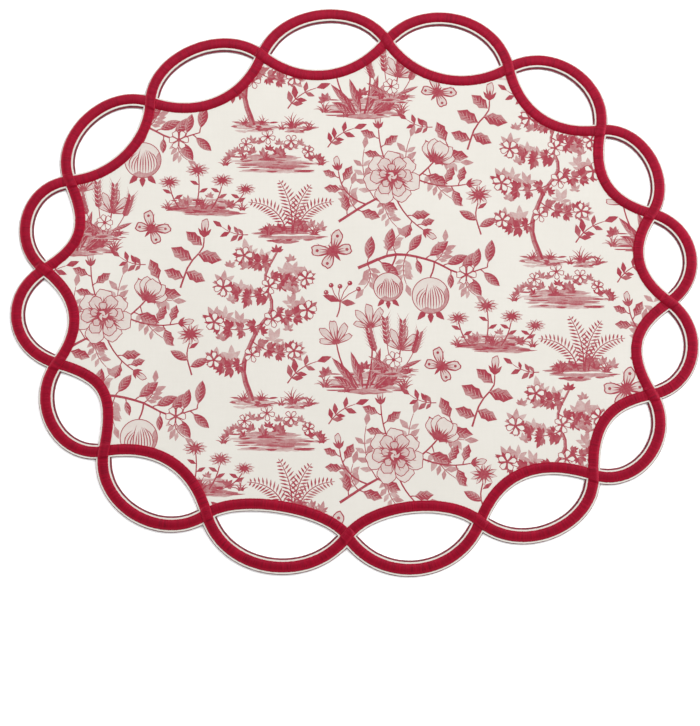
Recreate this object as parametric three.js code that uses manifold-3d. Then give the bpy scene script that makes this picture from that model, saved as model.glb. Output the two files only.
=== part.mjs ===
// An oval table mat in printed cloth with an openwork border. Two satin-stitched bands
// run round the edge and cross sixteen times. The lens-shaped gaps between them are cut
// out, a narrow bare rim of cloth shows beside the stitching, and the reverse of the
// border is backed by an openwork layer in the same red. Millimetres, +Z up. The mat
// lies flat, with +X along its longer axis and its underside on z = 0.

import * as THREE from "three";
import { ParametricGeometry } from "three/addons/geometries/ParametricGeometry.js";
import { mergeVertices } from "three/addons/utils/BufferGeometryUtils.js";
import Module from "manifold-3d";

const wasm = await Module();
wasm.setup();

// Widths across the border
const BAND_WIDTH = 7;
const BARE_RIM = 0.8;
const BACK_MARGIN = 0.4;

// Heights
const BACK_THICK = 0.6;
const CLOTH_THICK = 1;
const BAND_EDGE = 0.25;
const BAND_SHOULDER = 0.6;
const BAND_CROWN = 0.7;
const GAP = 0.3;

// How one band climbs over the other, measured along the band from the crossing point
const HOP_HOLD = 5.8;
const HOP_RAMP = 5.5;

// The angle between a band and the run of the border where two bands cross
const CROSSING_ANGLE = THREE.MathUtils.degToRad(55);

// Even steps along an arc between its two ramps, and along an edge of the inner field,
// which the border hides
const ARC_STEPS = 10;
const FIELD_STEPS = 4;

// The border is hand-guided stitching, so no two gaps are quite alike. Each row is one
// crossing, clockwise from the top: its angle from +X in degrees, its distance from the
// centre, how far the outer and the inner band bulge from the straight line to the next
// crossing, and the band that passes over.
const CROSSINGS = [
  { angle: 84, radius: 170.5, outer: 26, inner: 17.5, over: "a" },
  { angle: 56.5, radius: 182.5, outer: 23.5, inner: 16.5, over: "b" },
  { angle: 34, radius: 196.5, outer: 19.5, inner: 16, over: "a" },
  { angle: 15, radius: 204, outer: 20.5, inner: 14.5, over: "b" },
  { angle: -2, radius: 208.5, outer: 21, inner: 16, over: "b" },
  { angle: -19.5, radius: 208.5, outer: 22, inner: 15, over: "a" },
  { angle: -38, radius: 200.5, outer: 23.5, inner: 18.5, over: "b" },
  { angle: -61.5, radius: 177, outer: 26, inner: 14.5, over: "b" },
  { angle: -90.5, radius: 167, outer: 27, inner: 12.5, over: "b" },
  { angle: -121, radius: 180.5, outer: 24.5, inner: 17, over: "b" },
  { angle: -144.5, radius: 198.5, outer: 21.5, inner: 18, over: "a" },
  { angle: -163.5, radius: 203.5, outer: 22.5, inner: 15.5, over: "b" },
  { angle: 178.5, radius: 207, outer: 21, inner: 15.5, over: "b" },
  { angle: 161, radius: 204, outer: 22.5, inner: 14.5, over: "a" },
  { angle: 139, radius: 187, outer: 22.5, inner: 18, over: "b" },
  { angle: 113, radius: 171, outer: 24, inner: 19, over: "b" },
];

const clothFloor = BACK_THICK + GAP;
const bandFloor = clothFloor + CLOTH_THICK + GAP;
const hopRise = BAND_CROWN + GAP;

// Crossing points and arcs

const count = CROSSINGS.length;
const row = (k) => CROSSINGS[(k + count) % count];
const origin = new THREE.Vector2(0, 0);

function crossingPoint(k) {
  const { angle, radius } = row(k);
  return new THREE.Vector2(radius, 0).rotateAround(origin, THREE.MathUtils.degToRad(angle));
}

// The way the border runs at crossing k, clockwise, turned outwards by the given angle.
function heading(k, turn) {
  const run = crossingPoint(k + 1).sub(crossingPoint(k - 1)).normalize();
  return run.rotateAround(origin, turn);
}

// One arc of a band from crossing k to the next: side is 1 on the outer band and -1 on
// the inner one. The curve's handles are as long as its bulge asks.
function arcFrom(k, side) {
  const start = crossingPoint(k);
  const end = crossingPoint(k + 1);
  const chord = end.clone().sub(start).normalize();
  const outward = new THREE.Vector2(-chord.y, chord.x);
  const leave = heading(k, side * CROSSING_ANGLE);
  const arrive = heading(k + 1, -side * CROSSING_ANGLE);
  const bulge = side > 0 ? row(k).outer : row(k).inner;
  const leaveHandle = ((4 / 3) * bulge) / Math.abs(leave.dot(outward));
  const arriveHandle = ((4 / 3) * bulge) / Math.abs(arrive.dot(outward));
  return new THREE.CubicBezierCurve(
    start,
    start.clone().addScaledVector(leave, leaveHandle),
    end.clone().addScaledVector(arrive, -arriveHandle),
    end,
  );
}

// Where a band is measured along an arc: at the crossing, at both ends of each ramp, and
// evenly between the ramps.
function stationsAlong(length) {
  const ramp = HOP_HOLD + HOP_RAMP;
  const stations = [0, HOP_HOLD];
  for (let i = 0; i <= ARC_STEPS; i++) {
    stations.push(ramp + ((length - 2 * ramp) * i) / ARC_STEPS);
  }
  stations.push(length - HOP_HOLD);
  return stations;
}

// The rise of a band at a distance from a crossing that it passes over.
function hop(distance) {
  return hopRise * (1 - THREE.MathUtils.smoothstep(distance, HOP_HOLD, HOP_HOLD + HOP_RAMP));
}

// The centreline of a band as points with their outward directions and rises. Band b is
// the outer one after the first crossing, and band a after the second.
function traceBand(name) {
  const trace = [];
  for (let k = 0; k < count; k++) {
    const outerHere = (k % 2 === 0) === (name === "b");
    const arc = arcFrom(k, outerHere ? 1 : -1);
    const length = arc.getLength();
    for (const s of stationsAlong(length)) {
      const tangent = arc.getTangentAt(s / length);
      const before = row(k).over === name ? hop(s) : 0;
      const after = row(k + 1).over === name ? hop(length - s) : 0;
      trace.push({
        point: arc.getPointAt(s / length),
        outward: new THREE.Vector2(-tangent.y, tangent.x),
        rise: Math.max(before, after),
      });
    }
  }
  return trace;
}

const traceA = traceBand("a");
const traceB = traceBand("b");

// Flat layers

// The trace moved outwards by an offset, as a closed outline.
function offsetOutline(trace, offset) {
  return trace.map(({ point, outward }) => point.clone().addScaledVector(outward, offset));
}

function ribbonShape(trace, width) {
  const shape = new THREE.Shape(offsetOutline(trace, width / 2));
  const inside = offsetOutline(trace, -width / 2).reverse();
  shape.holes.push(new THREE.Path(inside));
  return shape;
}

// The cloth inside the border, out to about the middle of whichever band is the inner one.
function fieldShape() {
  const outline = [];
  for (let k = 0; k < count; k++) {
    outline.push(...arcFrom(k, -1).getSpacedPoints(FIELD_STEPS).slice(0, -1));
  }
  return new THREE.Shape(outline);
}

function solidFrom(geometry) {
  geometry.deleteAttribute("normal");
  geometry.deleteAttribute("uv");
  const merged = mergeVertices(geometry);
  return new wasm.Manifold(
    new wasm.Mesh({
      numProp: 3,
      vertProperties: merged.getAttribute("position").array,
      triVerts: new Uint32Array(merged.index.array),
    }),
  );
}

function layerSolid(shape, floor, thickness) {
  const geometry = new THREE.ExtrudeGeometry(shape, { depth: thickness, bevelEnabled: false });
  return solidFrom(geometry.translate(0, 0, floor));
}

function geometryFrom(solid) {
  const { vertProperties, triVerts } = solid.getMesh();
  const geometry = new THREE.BufferGeometry();
  geometry.setAttribute("position", new THREE.BufferAttribute(vertProperties, 3));
  geometry.setIndex(new THREE.BufferAttribute(triVerts, 1));
  geometry.computeVertexNormals();
  return geometry;
}

// Both ribbons of the border at one width, joined where they cross.
function borderSolid(width, floor, thickness) {
  const ribbonA = layerSolid(ribbonShape(traceA, width), floor, thickness);
  const ribbonB = layerSolid(ribbonShape(traceB, width), floor, thickness);
  return ribbonA.add(ribbonB);
}

function printedCloth() {
  const border = borderSolid(BAND_WIDTH + 2 * BARE_RIM, clothFloor, CLOTH_THICK);
  return geometryFrom(border.add(layerSolid(fieldShape(), clothFloor, CLOTH_THICK)));
}

function borderBacking() {
  return geometryFrom(borderSolid(BAND_WIDTH + 2 * (BARE_RIM + BACK_MARGIN), 0, BACK_THICK));
}

// Satin bands

// The padded section, from its inner foot over the crown to its outer foot: each corner's
// offset from the middle of the band and its height.
const shoulder = 0.3 * BAND_WIDTH;
const bandSection = [
  [-BAND_WIDTH / 2, 0],
  [-BAND_WIDTH / 2, BAND_EDGE],
  [-shoulder, BAND_SHOULDER],
  [0, BAND_CROWN],
  [shoulder, BAND_SHOULDER],
  [BAND_WIDTH / 2, BAND_EDGE],
  [BAND_WIDTH / 2, 0],
];

function satinBand(trace) {
  const rings = trace.length;
  const corners = bandSection.length;
  const place = (u, v, target) => {
    const { point, outward, rise } = trace[Math.round(u * rings) % rings];
    const [offset, height] = bandSection[Math.round(v * corners) % corners];
    target.set(
      point.x + outward.x * offset,
      point.y + outward.y * offset,
      bandFloor + rise + height,
    );
  };
  return new ParametricGeometry(place, rings, corners);
}

// Materials and the whole mat

const ivoryCloth = new THREE.MeshStandardMaterial({ color: 0xece8dc, roughness: 0.85, metalness: 0 });
const redSatin = new THREE.MeshStandardMaterial({ color: 0x9a1428, roughness: 0.45, metalness: 0 });
const redBacking = new THREE.MeshStandardMaterial({ color: 0x5a1220, roughness: 0.7, metalness: 0 });

function piece(name, geometry, material) {
  const mesh = new THREE.Mesh(geometry, material);
  mesh.name = name;
  return mesh;
}

const mat = new THREE.Group();
mat.add(
  piece("printed_cloth", printedCloth(), ivoryCloth),
  piece("border_backing", borderBacking(), redBacking),
  piece("satin_band_a", satinBand(traceA), redSatin),
  piece("satin_band_b", satinBand(traceB), redSatin),
);

// The table of crossings leaves the outline a fraction of a millimetre off centre.
const middle = new THREE.Box3().setFromObject(mat).getCenter(new THREE.Vector3());
mat.position.set(-middle.x, -middle.y, 0);

export default mat;
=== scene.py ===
# %% [markdown]
# # An oval openwork placemat
# This lesson dresses a finished frame, the plain solids of the placemat, as the printed and
# embroidered cloth that it stands for. The mat is one flat piece of printed ivory cotton with a
# border of sixteen lens-shaped openings. Two interlaced bands of red satin stitch run round the
# openings, and a dark red backing strengthens the border. The frame gives the sizes. Everything
# here is worked out in millimetres and turned into metres when a mesh is made.

import math
import random

import bpy
import numpy as np
from mathutils import Matrix, Vector
from mathutils.geometry import delaunay_2d_cdt


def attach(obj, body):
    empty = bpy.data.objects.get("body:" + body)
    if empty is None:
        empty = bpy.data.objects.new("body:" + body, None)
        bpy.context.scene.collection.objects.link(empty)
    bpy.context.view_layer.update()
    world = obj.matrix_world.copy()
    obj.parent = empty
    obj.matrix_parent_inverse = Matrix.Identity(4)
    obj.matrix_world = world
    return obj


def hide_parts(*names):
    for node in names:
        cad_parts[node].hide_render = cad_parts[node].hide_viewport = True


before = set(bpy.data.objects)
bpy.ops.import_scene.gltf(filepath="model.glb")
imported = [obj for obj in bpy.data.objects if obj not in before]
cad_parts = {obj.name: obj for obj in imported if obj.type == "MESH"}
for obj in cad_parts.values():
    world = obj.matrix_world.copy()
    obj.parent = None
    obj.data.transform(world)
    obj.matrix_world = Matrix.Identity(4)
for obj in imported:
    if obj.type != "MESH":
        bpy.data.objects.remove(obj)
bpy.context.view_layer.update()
MM = 0.001


def put(name, data):
    """A new object in the scene that holds this mesh, light or camera."""
    made = bpy.data.objects.new(name, data)
    bpy.context.scene.collection.objects.link(made)
    return made


# %% [markdown]
# ## The camera
# A long lens almost straight above the mat keeps its oval nearly true, and a tilt of ten degrees
# shows the near side of its raised edges. The camera comes first, because it decides which details
# are large enough to be seen.

# %% Camera
IMAGE_WIDTH = 700
FOCAL_PIXELS = 1807.2
SENSOR = 36.0
AIM = Vector((-2.157, -52.77, 0.0)) * MM
DISTANCE = 1192.2 * MM
ELEVATION = math.radians(80)
AZIMUTH = math.radians(-1.3)

level = math.cos(ELEVATION)
look = Vector((math.sin(AZIMUTH) * level, math.cos(AZIMUTH) * level, -math.sin(ELEVATION)))
right = Vector((math.cos(AZIMUTH), -math.sin(AZIMUTH), 0.0))
up = right.cross(look)
lens = bpy.data.cameras.new("overhead_camera")
lens.sensor_fit = "HORIZONTAL"
lens.sensor_width = SENSOR
lens.lens = FOCAL_PIXELS * SENSOR / IMAGE_WIDTH
camera = put("overhead_camera", lens)
turn = Matrix((right, up, -look)).transposed().to_4x4()
camera.matrix_world = Matrix.Translation(AIM - look * DISTANCE) @ turn
bpy.context.scene.camera = camera
print(f"camera: {lens.lens:.1f} mm lens, {DISTANCE:.3f} m from the mat")

# %% [markdown]
# ## Floor and light
# Cotton looks like cotton under soft light from all sides, so a white world fills the shadows. A
# large panel on the right is the main light. A second one high behind the mat is mirrored in the
# satin of the far arcs, which makes them brighter than the near ones, and a weak one on the left
# lights the outer flanks of the stitches there. The standard view transform keeps the cloth's own
# colours.

# %% Floor and lights
WHITE = (1.0, 1.0, 1.0, 1.0)
WORLD_STRENGTH = 0.72
bpy.context.scene.view_settings.view_transform = "Standard"
world = bpy.data.worlds.new("studio")
world.use_nodes = True
world.node_tree.nodes["Background"].inputs["Color"].default_value = WHITE
world.node_tree.nodes["Background"].inputs["Strength"].default_value = WORLD_STRENGTH
bpy.context.scene.world = world


def softbox(name, place, size, power):
    """A square area light that faces the middle of the mat. Place and size are in metres."""
    light = bpy.data.lights.new(name, "AREA")
    light.shape = "SQUARE"
    light.size = size
    light.energy = power
    facing = (-place).to_track_quat("-Z", "Y").to_matrix().to_4x4()
    lamp = put(name, light)
    lamp.matrix_world = Matrix.Translation(place) @ facing


softbox("key_panel", Vector((1.6, 0.6, 1.2)), 1.8, 48)
softbox("high_panel", Vector((-0.1, 0.85, 1.5)), 0.8, 12)
softbox("left_panel", Vector((-1.2, 0.5, 0.5)), 0.8, 7)

FLOOR_REACH = 4.0
floor_mesh = bpy.data.meshes.new("studio_floor")
corners = [(x * FLOOR_REACH, y * FLOOR_REACH, 0) for x, y in ((-1, -1), (1, -1), (1, 1), (-1, 1))]
floor_mesh.from_pydata(corners, [], [(0, 1, 2, 3)])
floor = put("studio_floor", floor_mesh)
print("the floor reaches", FLOOR_REACH, "m each way under", len(bpy.data.lights), "panels")

# %% [markdown]
# ## A small language for materials
# A material is a graph of nodes, which is slow to read as code. This class wraps one socket of a
# node, and Python's own signs then add the Math nodes: `1 - mask * 0.5` is written as it is meant.
# Any other node comes from `node`, which takes its type, its settings and what goes into its
# sockets.

# %% Sockets as values
class Wire:
    """One output socket of a shader node."""

    def __init__(self, tree, socket):
        self.tree = tree
        self.socket = socket

    def node(self, kind, settings=None, values=None, out=0):
        """Adds a node of this kind and gives its output numbered or named out."""
        made = self.tree.nodes.new(kind)
        for name, value in (settings or {}).items():
            setattr(made, name, value)
        for name, value in (values or {}).items():
            if isinstance(value, Wire):
                self.tree.links.new(value.socket, made.inputs[name])
            else:
                made.inputs[name].default_value = value
        return Wire(self.tree, made.outputs[out])

    def maths(self, operation, first, second=0.0):
        return self.node("ShaderNodeMath", {"operation": operation}, {0: first, 1: second})

    def __add__(self, other):
        return self.maths("ADD", self, other)

    __radd__ = __add__

    def __sub__(self, other):
        return self.maths("SUBTRACT", self, other)

    def __rsub__(self, other):
        return self.maths("SUBTRACT", other, self)

    def __mul__(self, other):
        return self.maths("MULTIPLY", self, other)

    __rmul__ = __mul__

    def __rpow__(self, other):
        return self.maths("POWER", other, self)

    def __abs__(self):
        return self.maths("ABSOLUTE", self)

    def between(self, low, high):
        """0 below low, 1 above high, with a smooth rise from one to the other."""
        settings = {"interpolation_type": "SMOOTHSTEP"}
        values = {"Value": self, "From Min": low, "From Max": high}
        return self.node("ShaderNodeMapRange", settings, values)

    def blend(self, first, second):
        """The colour first where this wire is 0 and second where it is 1."""
        sockets = {0: self, 6: first, 7: second}
        return self.node("ShaderNodeMix", {"data_type": "RGBA"}, sockets, 2)


def begin(name):
    """A new material, its shader, and the place on the piece in metres as a wire."""
    made = bpy.data.materials.new(name)
    made.use_nodes = True
    tree = made.node_tree
    spot = tree.nodes.new("ShaderNodeTexCoord")
    return made, tree.nodes["Principled BSDF"], Wire(tree, spot.outputs["Object"])


def feed(shader, values):
    """Sets or links the shader's own sockets."""
    for name, value in values.items():
        if isinstance(value, Wire):
            value.tree.links.new(value.socket, shader.inputs[name])
        else:
            shader.inputs[name].default_value = value


def cloud(spot, scale, detail=2.0, stretch=(1.0, 1.0, 1.0)):
    """Soft noise with scale bumps a metre, wider along an axis whose stretch is below 1."""
    spread = spot.node("ShaderNodeVectorMath", {"operation": "MULTIPLY"}, {0: spot, 1: stretch})
    return spot.node("ShaderNodeTexNoise", {}, {"Vector": spread, "Scale": scale, "Detail": detail})


def stored(spot, name):
    """The value that a mesh keeps under this name for each face or point."""
    return spot.node("ShaderNodeAttribute", {"attribute_name": name}, out="Fac")


def raised(spot, height, strength, distance):
    """The surface's direction after small raised marks, whose height is in metres."""
    values = {"Strength": strength, "Distance": distance, "Height": height}
    return spot.node("ShaderNodeBump", {}, values)


print("wires answer to + - * ** and abs, and have", ", ".join(("node", "between", "blend")))

# %% [markdown]
# ### The floor's finish
# The floor is a sheet of matt white paper. A very soft change of tone keeps it from looking like an
# empty background, and it is too weak to be noticed as a pattern.

# %% Floor finish
paper, shader, spot = begin("white_paper")
tone = cloud(spot, 6.0).between(0.2, 0.8).blend((0.93, 0.93, 0.93, 1), (0.95, 0.95, 0.95, 1))
feed(shader, {"Base Color": tone, "Roughness": 0.9})
floor_mesh.materials.append(paper)
print("the paper uses", len(paper.node_tree.nodes), "nodes")

# %% [markdown]
# ## The interlaced bands as two lines
# Both bands pass through the same sixteen crossings and swap sides at each one. Between two
# crossings one band bows outwards and the other inwards, and together they bound one lens-shaped
# opening. Every crossing has its own place, bulges and upper band, because the border is not quite
# even on the real mat. Points are complex numbers: x + iy in millimetres. Multiplying by 1j then
# turns a direction to its left.

# %% The crossings
# angle in degrees, distance from the centre, outer bulge, inner bulge to the next crossing, band on top
CROSSINGS = [
    (84.0, 170.5, 26.0, 17.5, "a"),
    (56.5, 182.5, 23.5, 16.5, "b"),
    (34.0, 196.5, 19.5, 16.0, "a"),
    (15.0, 204.0, 20.5, 14.5, "b"),
    (-2.0, 208.5, 21.0, 16.0, "b"),
    (-19.5, 208.5, 22.0, 15.0, "a"),
    (-38.0, 200.5, 23.5, 18.5, "b"),
    (-61.5, 177.0, 26.0, 14.5, "b"),
    (-90.5, 167.0, 27.0, 12.5, "b"),
    (-121.0, 180.5, 24.5, 17.0, "b"),
    (-144.5, 198.5, 21.5, 18.0, "a"),
    (-163.5, 203.5, 22.5, 15.5, "b"),
    (178.5, 207.0, 21.0, 15.5, "b"),
    (161.0, 204.0, 22.5, 14.5, "a"),
    (139.0, 187.0, 22.5, 18.0, "b"),
    (113.0, 171.0, 24.0, 19.0, "b"),
]
CROSSING_ANGLE = math.radians(55)
LENSES = len(CROSSINGS)
knots = np.array([distance * np.exp(1j * math.radians(angle))
                  for angle, distance, _, _, _ in CROSSINGS])


def heading(k, turn):
    """The border's direction at crossing k, turned outwards by turn."""
    travel = knots[(k + 1) % LENSES] - knots[(k - 1) % LENSES]
    return travel / abs(travel) * np.exp(1j * turn)


def bows_out(name, k):
    """Whether the band takes the outer way round opening k."""
    return (k % 2 == 0) == (name == "b")


def arc(name, k, count=400):
    """Points of one band from crossing k to the next one, along a cubic curve."""
    side = 1 if bows_out(name, k) else -1
    start = knots[k]
    end = knots[(k + 1) % LENSES]
    outward = 1j * (end - start) / abs(end - start)
    leave = heading(k, side * CROSSING_ANGLE)
    arrive = heading(k + 1, -side * CROSSING_ANGLE)
    bulge = CROSSINGS[k][2] if side > 0 else CROSSINGS[k][3]
    reach_out, reach_in = [4 / 3 * bulge / abs((way * outward.conjugate()).real)
                           for way in (leave, arrive)]
    t = np.linspace(0, 1, count)
    return (start * (1 - t) ** 3 + 3 * (start + leave * reach_out) * t * (1 - t) ** 2
            + 3 * (end - arrive * reach_in) * t ** 2 * (1 - t) + end * t ** 3)


print(LENSES, "crossings,", sum(top == "b" for *_, top in CROSSINGS), "of them with band b on top")

# %% [markdown]
# ### Even steps
# Stitches lie side by side at one pitch, but equal steps of a curve's own parameter are not equally
# long. So the arc is measured first, and the places are then read off at even distances along it.

# %% Even steps along a band
def walk(name, step):
    """One round of a band in even steps.

    It gives places, directions, whether each place bows out, and distances to the next crossing.
    """
    places, ways, outer, gaps = [], [], [], []
    for k in range(LENSES):
        line = arc(name, k)
        far = np.concatenate([[0], np.cumsum(abs(np.diff(line)))])
        count = max(2, round(far[-1] / step))
        at = np.arange(count) / count * far[-1]
        place = np.interp(at, far, line.real) + 1j * np.interp(at, far, line.imag)
        way = np.gradient(line)
        way = np.interp(at, far, way.real) + 1j * np.interp(at, far, way.imag)
        places.append(place)
        ways.append(way / abs(way))
        outer.append(np.full(count, 1.0 if bows_out(name, k) else 0.0))
        gaps.append(np.minimum(at, far[-1] - at))
    return [np.concatenate(part) for part in (places, ways, outer, gaps)]


def ramp(value, low, high):
    """0 below low, 1 above high, smooth between."""
    share = np.clip((value - low) / (high - low), 0, 1)
    return share * share * (3 - 2 * share)


for name in "ab":
    print("band", name, "is", round(abs(np.diff(walk(name, 0.5)[0])).sum()), "mm long")

# %% [markdown]
# ## Cut edges
# The cloth is cut a little outside the stitching, so a bare ivory rim shows, wider towards the
# openings and along the near side. The cut wavers by a tenth of a millimetre or so, because
# scissors or a hot knife follow the stitches by hand. The backing is cut a little wider again. Each
# edge is an offset of the band's line, and its width eases from one value to the other near a
# crossing, where it dives under the other band.

# %% Edge lines
BAND_HALF = 3.5
NEAR_SIDE_EXTRA = 0.45
# rim widths beyond the stitching: (outside of an outer arc, opening side of an outer arc,
#                                   opening side of an inner arc, field side of an inner arc)
# partly painted shadow: the backing's 2.3 mm beyond the opening side of an outer arc makes a dark line
# that is both its own edge and the border's shadow
RIMS = {"cloth": (0.5, 1.0, 0.95, 0.8), "backing": (0.85, 2.3, 1.2, 1.2)}
EDGE_STEP = 1.3
wander = random.Random(3)


def edge_line(name, side, rims, waver):
    """The cut edge on the left (side 1) or right (side -1) of a band."""
    place, way, outer, gap = walk(name, EDGE_STEP)
    beyond, outer_open, inner_open, field = rims
    near = NEAR_SIDE_EXTRA * ramp(-place.imag, -10, 130)
    if side > 0:
        wide = np.where(outer > 0, beyond + near, inner_open)
    else:
        wide = np.where(outer > 0, outer_open, field)
    meet = (wide.max() + wide.min()) / 2
    wide = meet + (wide - meet) * ramp(gap, 1.5, 8.0)
    length = np.arange(len(place))
    drift = sum(math.sin(n) * np.sin(length * 0.11 * n + n * n) for n in range(1, 9)) / 4
    jitter = np.array([wander.gauss(0, 1) for _ in place])
    wide = wide + waver * (0.6 * drift + 0.45 * jitter)
    return place + 1j * way * side * (BAND_HALF + wide)


def cut_edges(rims, waver):
    """The cut edges of one layer: left of bands a and b, then right of bands a and b."""
    return [edge_line(name, side, rims, waver) for side in (1, -1) for name in "ab"]


rounds = [walk(name, EDGE_STEP) for name in "ab"]
outline = np.concatenate([place + 1j * way * (BAND_HALF + 1.2) for place, way, _, _ in rounds])
centre = complex((outline.real.max() + outline.real.min()) / 2,
                 (outline.imag.max() + outline.imag.min()) / 2)
knots = knots - centre
print("the outline is centred by", np.round(centre, 3), "mm")


LIFT = 0.3
SWELL = 0.15


def lie(place):
    """How far the mat stands off the table, in millimetres: pressed cloth is never quite flat."""
    x = place.real
    y = place.imag
    swell = np.sin(x / 61 + 0.7) * np.sin(y / 53 + 1.9) + 0.6 * np.sin(x / 37 - y / 71 + 0.4)
    return LIFT + SWELL * swell

# %% [markdown]
# ## The print
# The cloth is printed in one deep rose ink, in the manner of an old engraved furnishing print:
# islands of plants on washes of thinned ink, with butterflies and twigs between them. This layout
# is a new one that only keeps the colour and scale of such prints. Every motif is drawn here as
# filled outlines, each with a tone from 0 (bare cloth) to 1 (full ink). Later outlines cover
# earlier ones, as a painter works. Petals are a dark shape with a lighter one inside, so their rim
# reads as a drawn line, and wedges stand for the strokes of an engraver's tool.
#
# A small set of pens does the drawing. They start from lines of points, so a leaf is two bows from
# foot to tip, and a flower is a petal turned round its middle. One seeded source of chance makes
# each leaf a little different.

# %% The pen
pen = random.Random(7)


def loop(there, back):
    """A closed outline that runs along one line and comes back along the other."""
    return np.concatenate([there, back[::-1]])


def bow(start, end, sag, count=5):
    """A line from start to end that bends to its left by sag."""
    step = np.linspace(0, 1, count)
    across = 1j * (end - start) / abs(end - start)
    return start + (end - start) * step + across * 4 * sag * step * (1 - step)


def smooth(pins, count=14):
    """A smooth line through the pins."""
    pins = np.array(pins, complex)
    knots = np.concatenate([[2 * pins[0] - pins[1]], pins, [2 * pins[-1] - pins[-2]]])
    line = []
    for place in np.linspace(0, len(pins) - 1, count):
        k = min(int(place), len(pins) - 2)
        t = place - k
        a, b, c, d = knots[k:k + 4]
        curve = 2 * a - 5 * b + 4 * c - d + t * (3 * (b - c) + d - a)
        line.append(b + 0.5 * t * (c - a + t * curve))
    return np.array(line)


def across(line):
    """The unit direction to the left of a line at each of its points."""
    along = np.gradient(line)
    return 1j * along / np.maximum(abs(along), 1e-9)


def brush(line, width, tone):
    """A stroke that swells in its middle and thins at both ends."""
    share = np.linspace(0, 1, len(line))
    half = width / 2 * np.maximum(np.sin(np.pi * share) ** 0.6, 0.12) * across(line)
    return loop(line + half, line - half), tone


def rod(line, first, last, tone):
    """A stroke whose width runs from first to last."""
    half = np.linspace(first, last, len(line)) / 2 * across(line)
    return loop(line + half, line - half), tone


def tick(base, tip, width, tone):
    """A wedge: the short stroke of an engraver's tool."""
    side = 1j * (tip - base) / abs(tip - base) * width / 2
    return np.array([base + side, base - side, tip]), tone


def disk(centre, radius, tone, count=7):
    return centre + radius * np.exp(2j * np.pi * np.arange(count) / count), tone


sample = bow(0j, 10 + 0j, 1.0)
print("a bow has", len(sample), "points and a brush stroke", len(brush(sample, 1, 1)[0]))

# %% [markdown]
# ### Leaves
# A leaf is one pale shape with one darker half laid over it, and the strip left between them is its
# bare midrib. Smaller leaves are single dark blades, set in tufts or in pairs along a twig.

# %% Leaves
def leaf(base, tip, belly, dark=1.0, light=0.4, teeth=0.0):
    """A leaf with a light half, a shaded half, a bare midrib and ticks for veins."""
    count = 7 if teeth or abs(tip - base) > 12 else 5
    zigzag = 1 + teeth * np.where(np.arange(count) % 2, -1, 1)
    chord = np.linspace(0, 1, count) * (tip - base) + base
    upper = chord + (bow(base, tip, belly, count) - chord) * zigzag
    lower = chord + (bow(base, tip, -belly, count) - chord) * zigzag
    rib = bow(base, tip, belly * 0.15, count)
    made = [(loop(upper, lower), light), (loop(rib, lower), dark)]
    if abs(tip - base) > 8:
        for at in range(1, count - 2):
            high = upper[at + 1] * 0.85 + rib[at + 1] * 0.15
            low = lower[at + 1] * 0.7 + rib[at + 1] * 0.3
            made.append(tick(rib[at], high, 0.8, dark * 0.9))
            made.append(tick(rib[at], low, 0.5, light * 0.6))
    return made


def leaves_on(line, spots, size, belly=0.24, teeth=0.16):
    """Leaves that spring from a stem: each spot is the number of a point and its side, 1 for left."""
    side = across(line)
    made = []
    for at, way in spots:
        lean = side[at] * way - pen.uniform(0.4, 0.8) * 1j * side[at]
        reach = lean / abs(lean) * size * pen.uniform(0.88, 1.12)
        made.append(rod(bow(line[at], line[at] + reach * 0.25, 0.2, 3), 0.9, 0.7, 1.0))
        foot = line[at] + reach * 0.2
        made += leaf(foot, line[at] + reach * 1.2, abs(reach) * belly * way, teeth=teeth)
    return made


def blade(base, tip, belly, tone=0.95):
    """A small leaf in one tone: four points are enough at this size."""
    middle = base * 0.55 + tip * 0.45
    side = 1j * (tip - base) / abs(tip - base) * belly
    far = tip - (tip - base) * 0.22
    lower = [base, middle - side, far - side * 0.55]
    upper = [tip, far + side * 0.5, middle + side * 0.9]
    return [(np.array(lower + upper), tone)]


def tuft(at, way, size, number=5, spread=2.4, tone=1.0):
    """A fan of small leaves at the end of a twig, dark below and lighter on top."""
    made = []
    for n in range(number):
        lean = (n / (number - 1) - 0.5) * spread + pen.uniform(-0.12, 0.12)
        reach = size * (1 - 0.28 * abs(lean) / spread * 2) * pen.uniform(0.85, 1.15)
        tip = at + way * np.exp(1j * lean) * reach
        made += blade(at, tip, reach * pen.uniform(0.2, 0.27), tone * pen.choice((1.0, 0.9, 0.62)))
    return made


def leafy(line, size, every=2, number=4, tone=1.0):
    """Tufts of small leaves on both sides of a twig and at its end."""
    side = across(line)
    made = [rod(line, 0.9, 0.45, 1.0)]
    for n in range(1, len(line) - 1, every):
        for way in (1, -1):
            lean = side[n] * way - 0.8j * side[n]
            reach = size * pen.uniform(0.8, 1.1)
            made += tuft(line[n] + lean * 0.6, lean / abs(lean), reach, number, 1.7, tone)
    return made + tuft(line[-1], -1j * side[-1], size * 1.1, 5, 2.2, tone)


def sprig(base, tip, sag, leaves, size, tone=1.0):
    """A twig with leaves in pairs and one at its tip."""
    line = bow(base, tip, sag, 7)
    made = [rod(line, 0.8, 0.45, 1.0)]
    side = across(line)
    for n in range(leaves):
        at = int((0.2 + 0.7 * n / max(leaves, 1)) * 6)
        for way in (1, -1):
            lean = side[at] * way * 0.9 - 0.75j * side[at]
            reach = size * pen.uniform(0.8, 1.15)
            point = line[at] + lean / abs(lean) * reach
            made += blade(line[at], point, reach * 0.24, tone * pen.choice((1.0, 0.7)))
    made += blade(tip, tip - 1j * side[-1] * size * 1.15, size * 0.27, tone)
    return made


print("a leaf of 15 mm:", len(leaf(0j, 15 + 0j, 3.5)), "outlines")

# %% [markdown]
# ### Flowers
# Flowers are rings of petals. A wide petal drawn from its foot gives a rose, a narrow one a lily or
# a butterfly's wing, and a flattened ring a daisy that leans away.

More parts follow.
